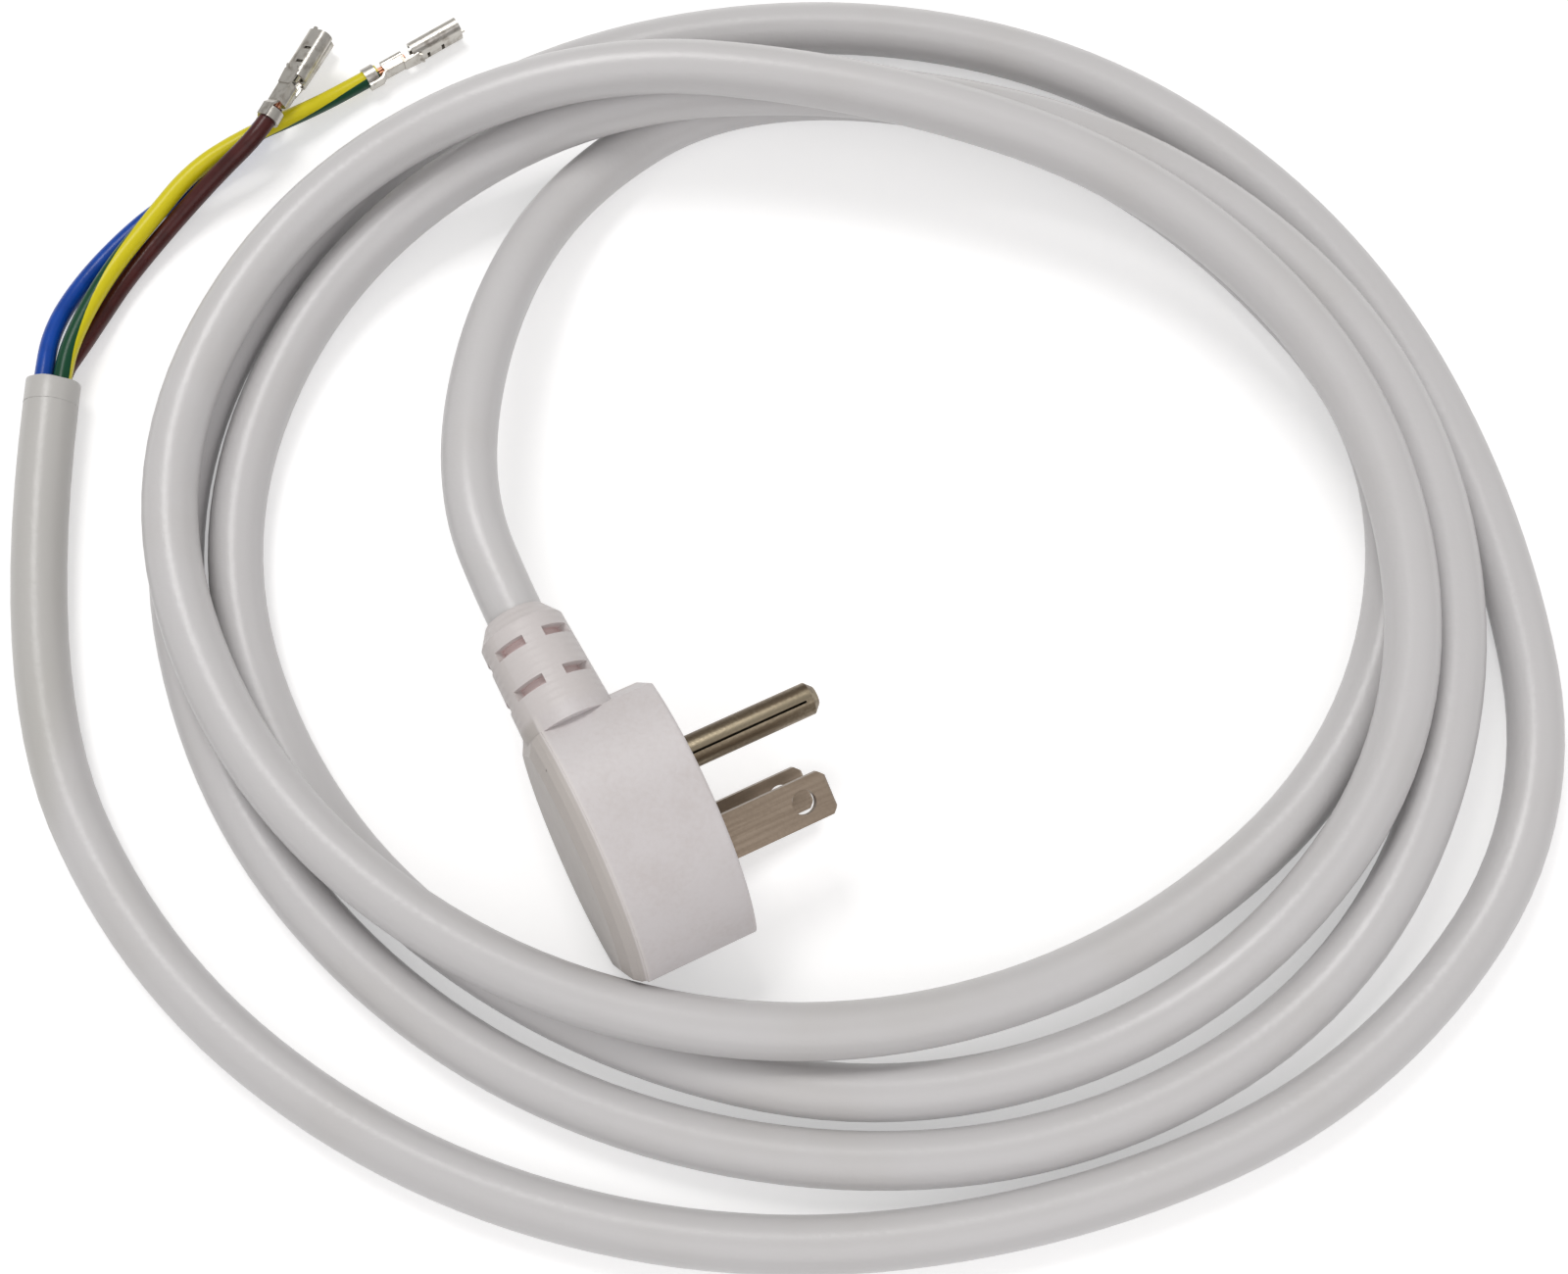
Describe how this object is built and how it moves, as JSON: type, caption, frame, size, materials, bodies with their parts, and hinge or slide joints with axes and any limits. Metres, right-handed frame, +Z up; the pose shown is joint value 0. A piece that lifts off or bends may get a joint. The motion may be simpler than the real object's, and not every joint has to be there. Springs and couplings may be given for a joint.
{
  "type": "power cord",
  "caption": "Light grey round power cord in a loose coil, with a moulded right-angle grounding plug on one end and stripped cores with crimped receptacles on the other.",
  "frame": {"origin": "on the surface the cord lies on, under the middle of its outline", "axes": "+Z up; +X and +Y along the surface, with the stripped end at -X and its cores running towards +Y, and the plug's blades pointing to +X"},
  "size_m": [0.2269, 0.1947, 0.0311],
  "materials": {
    "jacket": "satin soft vinyl",
    "plug": "satin moulded vinyl",
    "carrier": "moulded, hidden inside the plug",
    "blade": "nickel-plated brass, lightly tarnished",
    "pin": "rolled brass, dull plating",
    "blue": "smooth vinyl",
    "brown": "smooth vinyl",
    "earth": "smooth vinyl, green with a yellow stripe",
    "line_lead": "smooth vinyl",
    "neutral_lead": "smooth vinyl",
    "earth_lead": "smooth vinyl",
    "copper": "bare copper",
    "contact": "tinned brass sheet"
  },
  "bodies": {
    "root": {"jacket": "jacket", "plug_body": "plug", "prong_carrier": "carrier", "line_blade": "blade", "neutral_blade": "blade", "earth_pin": "pin", "blue_core": "blue", "brown_core": "brown", "earth_core": "earth", "blue_strands": "copper", "brown_strands": "copper", "earth_strands": "copper", "blue_contact": "contact", "brown_contact": "contact", "earth_contact": "contact", "line_lead": "line_lead", "neutral_lead": "neutral_lead", "earth_lead": "earth_lead", "line_lead_copper": "copper", "neutral_lead_copper": "copper", "earth_lead_copper": "copper"}
  },
  "joints": []
}
